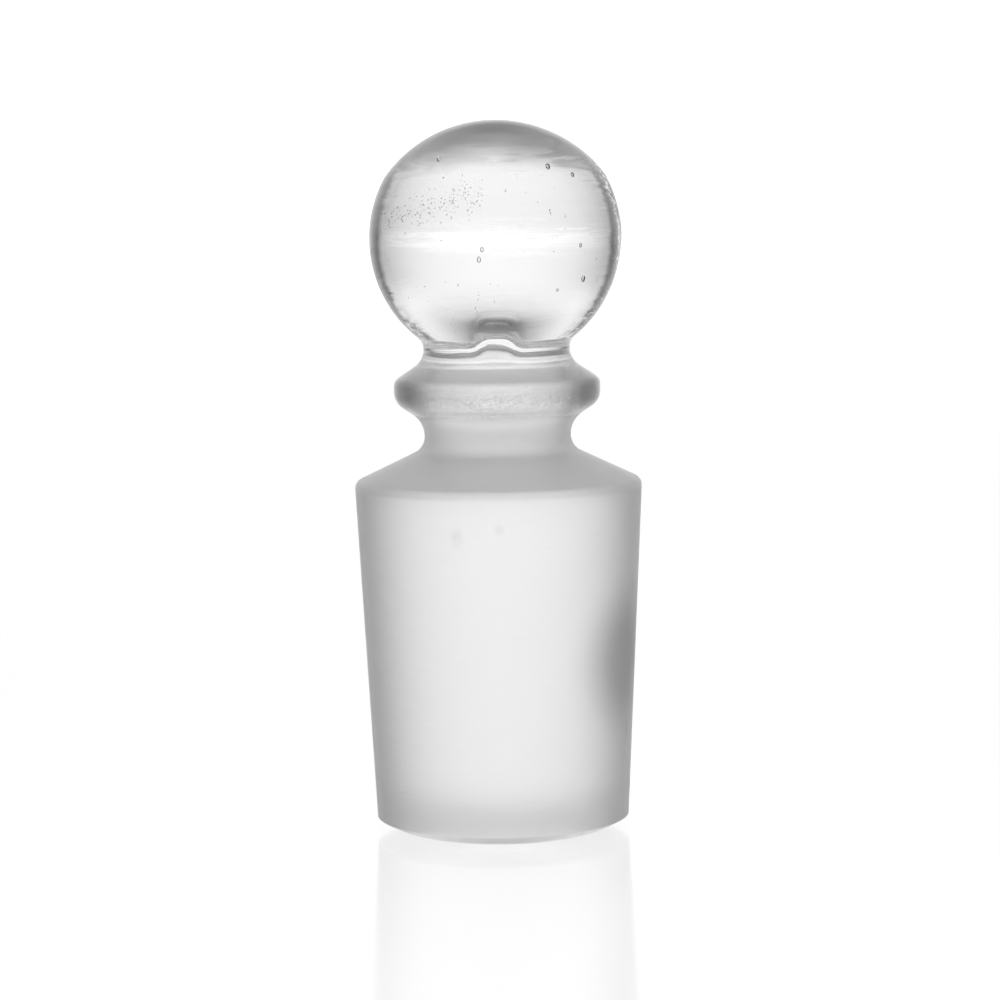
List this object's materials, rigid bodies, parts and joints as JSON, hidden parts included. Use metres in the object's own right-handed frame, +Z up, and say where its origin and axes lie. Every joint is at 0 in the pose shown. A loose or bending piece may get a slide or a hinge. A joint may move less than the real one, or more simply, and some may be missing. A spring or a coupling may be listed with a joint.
{
  "type": "ball-head ground glass stopper",
  "caption": "Solid clear glass stopper with a ball knob, a collared neck and a ground standard-taper plug, standing on its narrow end.",
  "frame": {"origin": "centre of the flat foot, on the surface that the stopper stands on", "axes": "+Z up the stopper's axis, from the narrow end of the plug to the ball; +X and +Y are free, because the stopper is round"},
  "size_m": [0.0292, 0.0292, 0.0724],
  "materials": {
    "clear_glass": "clear, fire-polished, with a few small seeds in the ball",
    "satin_glass": "satin, with fine tool lines round the axis that blur what is seen through it",
    "ground_glass": "satin, finely ground, with hairline grinding rings round the cone"
  },
  "bodies": {
    "root": {"foot": "clear_glass", "ground_plug": "ground_glass", "shoulder": "satin_glass", "neck": "satin_glass", "collar": "satin_glass", "knob_post": "clear_glass", "ball_knob": "clear_glass"}
  },
  "joints": []
}
